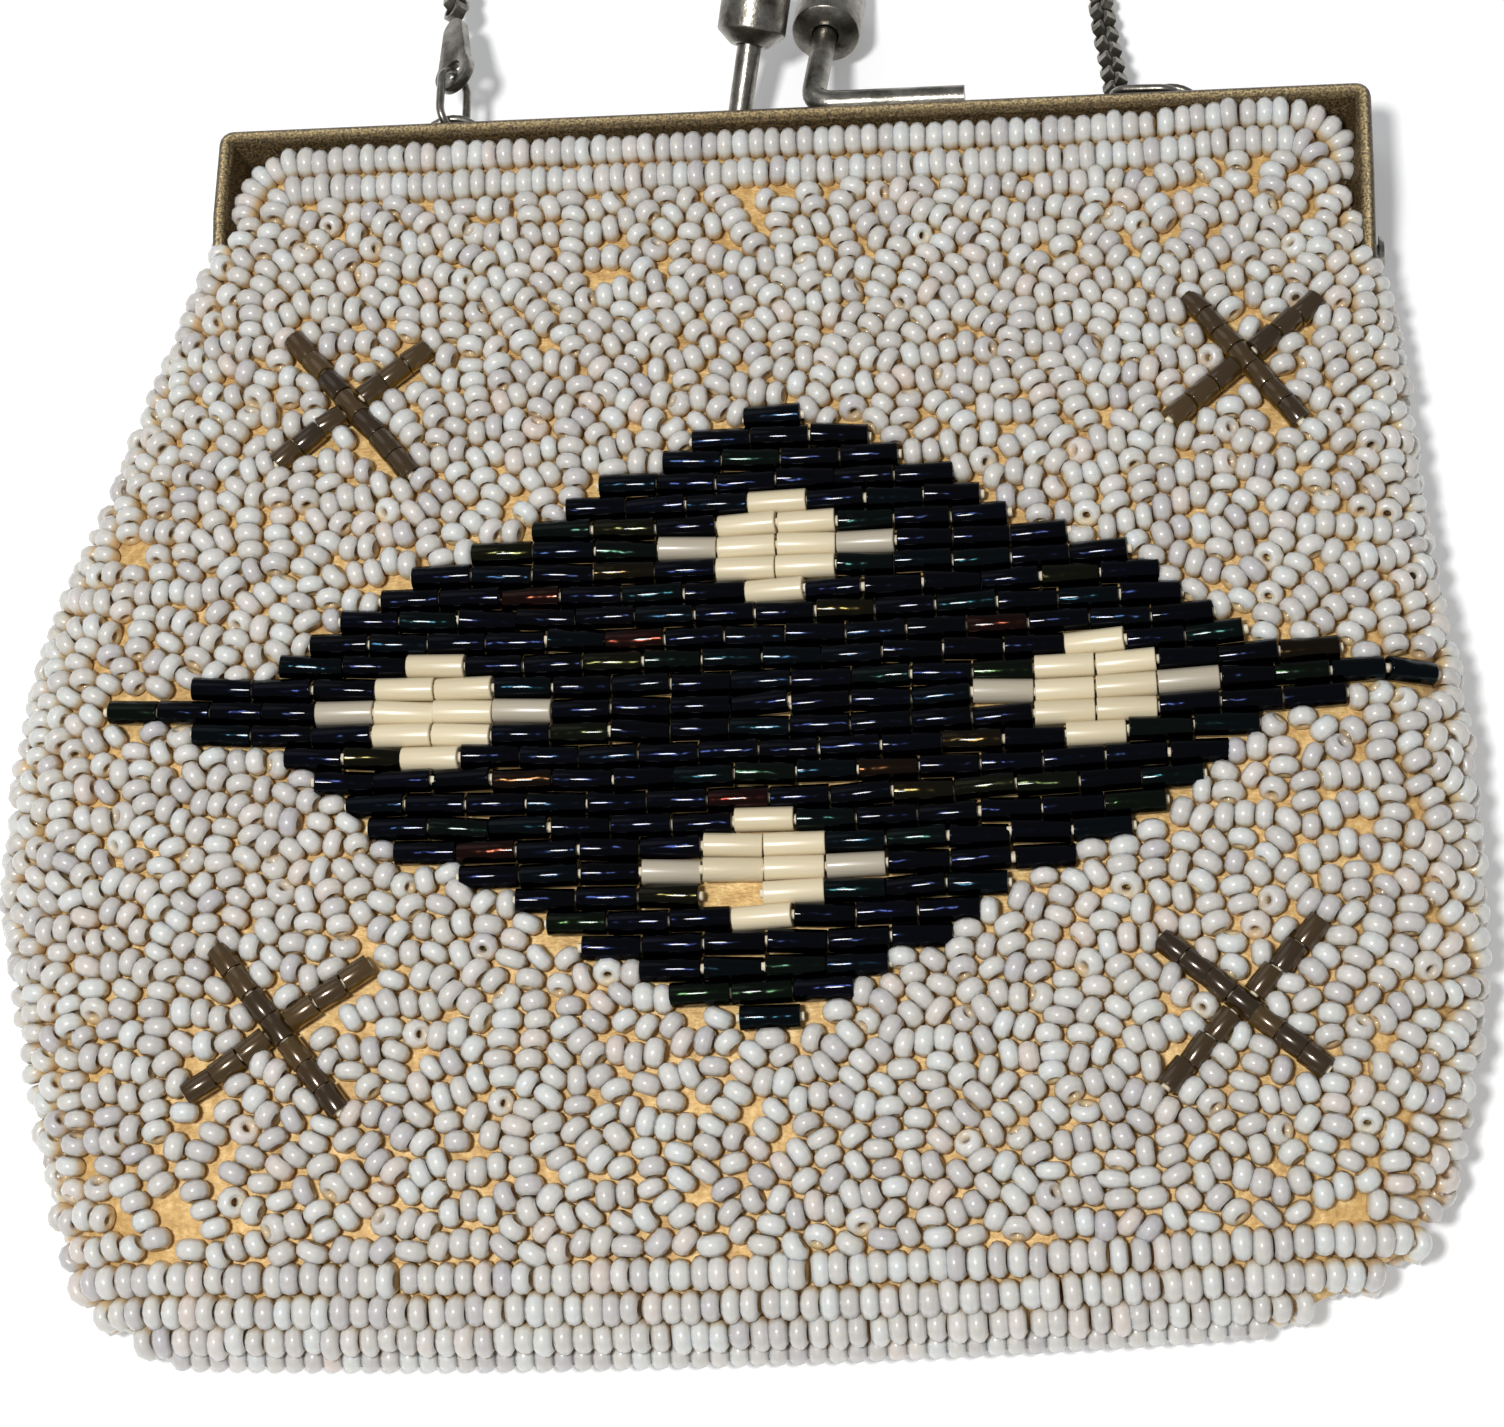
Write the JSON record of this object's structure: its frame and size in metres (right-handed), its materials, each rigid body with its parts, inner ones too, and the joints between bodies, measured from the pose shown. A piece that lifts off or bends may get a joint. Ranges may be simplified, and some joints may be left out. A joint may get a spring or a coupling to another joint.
{
  "type": "beaded evening bag",
  "caption": "Small soft evening bag worked with seed beads and bugle motifs, on a square metal frame with a kiss lock and a chain handle, lying on its back.",
  "frame": {"origin": "on the flat back that the bag rests on, under the middle of the large bugle diamond", "axes": "+X across the bag to the right, +Y up the bag to the frame and the chain, +Z out of the front"},
  "size_m": [0.1119, 0.2415, 0.0125],
  "materials": {
    "beadwork": "pearly seed beads on gold satin",
    "dark_bugle": "glossy iris glass, opaque",
    "cream_bugle": "satin cream glass, opaque",
    "bronze_bugle": "glossy bronze glass",
    "frame_brass": "antique, worn at the rim",
    "nickel": "dark polished nickel"
  },
  "bodies": {
    "root": {"pouch": "beadwork", "front_frame": "frame_brass", "back_frame": "frame_brass", "hinge_rivet_left": "nickel", "hinge_rivet_right": "nickel", "front_knob": "nickel", "back_knob": "nickel", "bail_left": "nickel", "bail_right": "nickel", "chain_end_left": "nickel", "chain": "nickel", "bugle_diamond": "dark_bugle", "cream_diamond_top": "cream_bugle", "cream_diamond_bottom": "cream_bugle", "cream_diamond_left": "cream_bugle", "cream_diamond_right": "cream_bugle", "bronze_cross_top_left": "bronze_bugle", "bronze_cross_top_right": "bronze_bugle", "bronze_cross_bottom_left": "bronze_bugle", "bronze_cross_bottom_right": "bronze_bugle"}
  },
  "joints": []
}
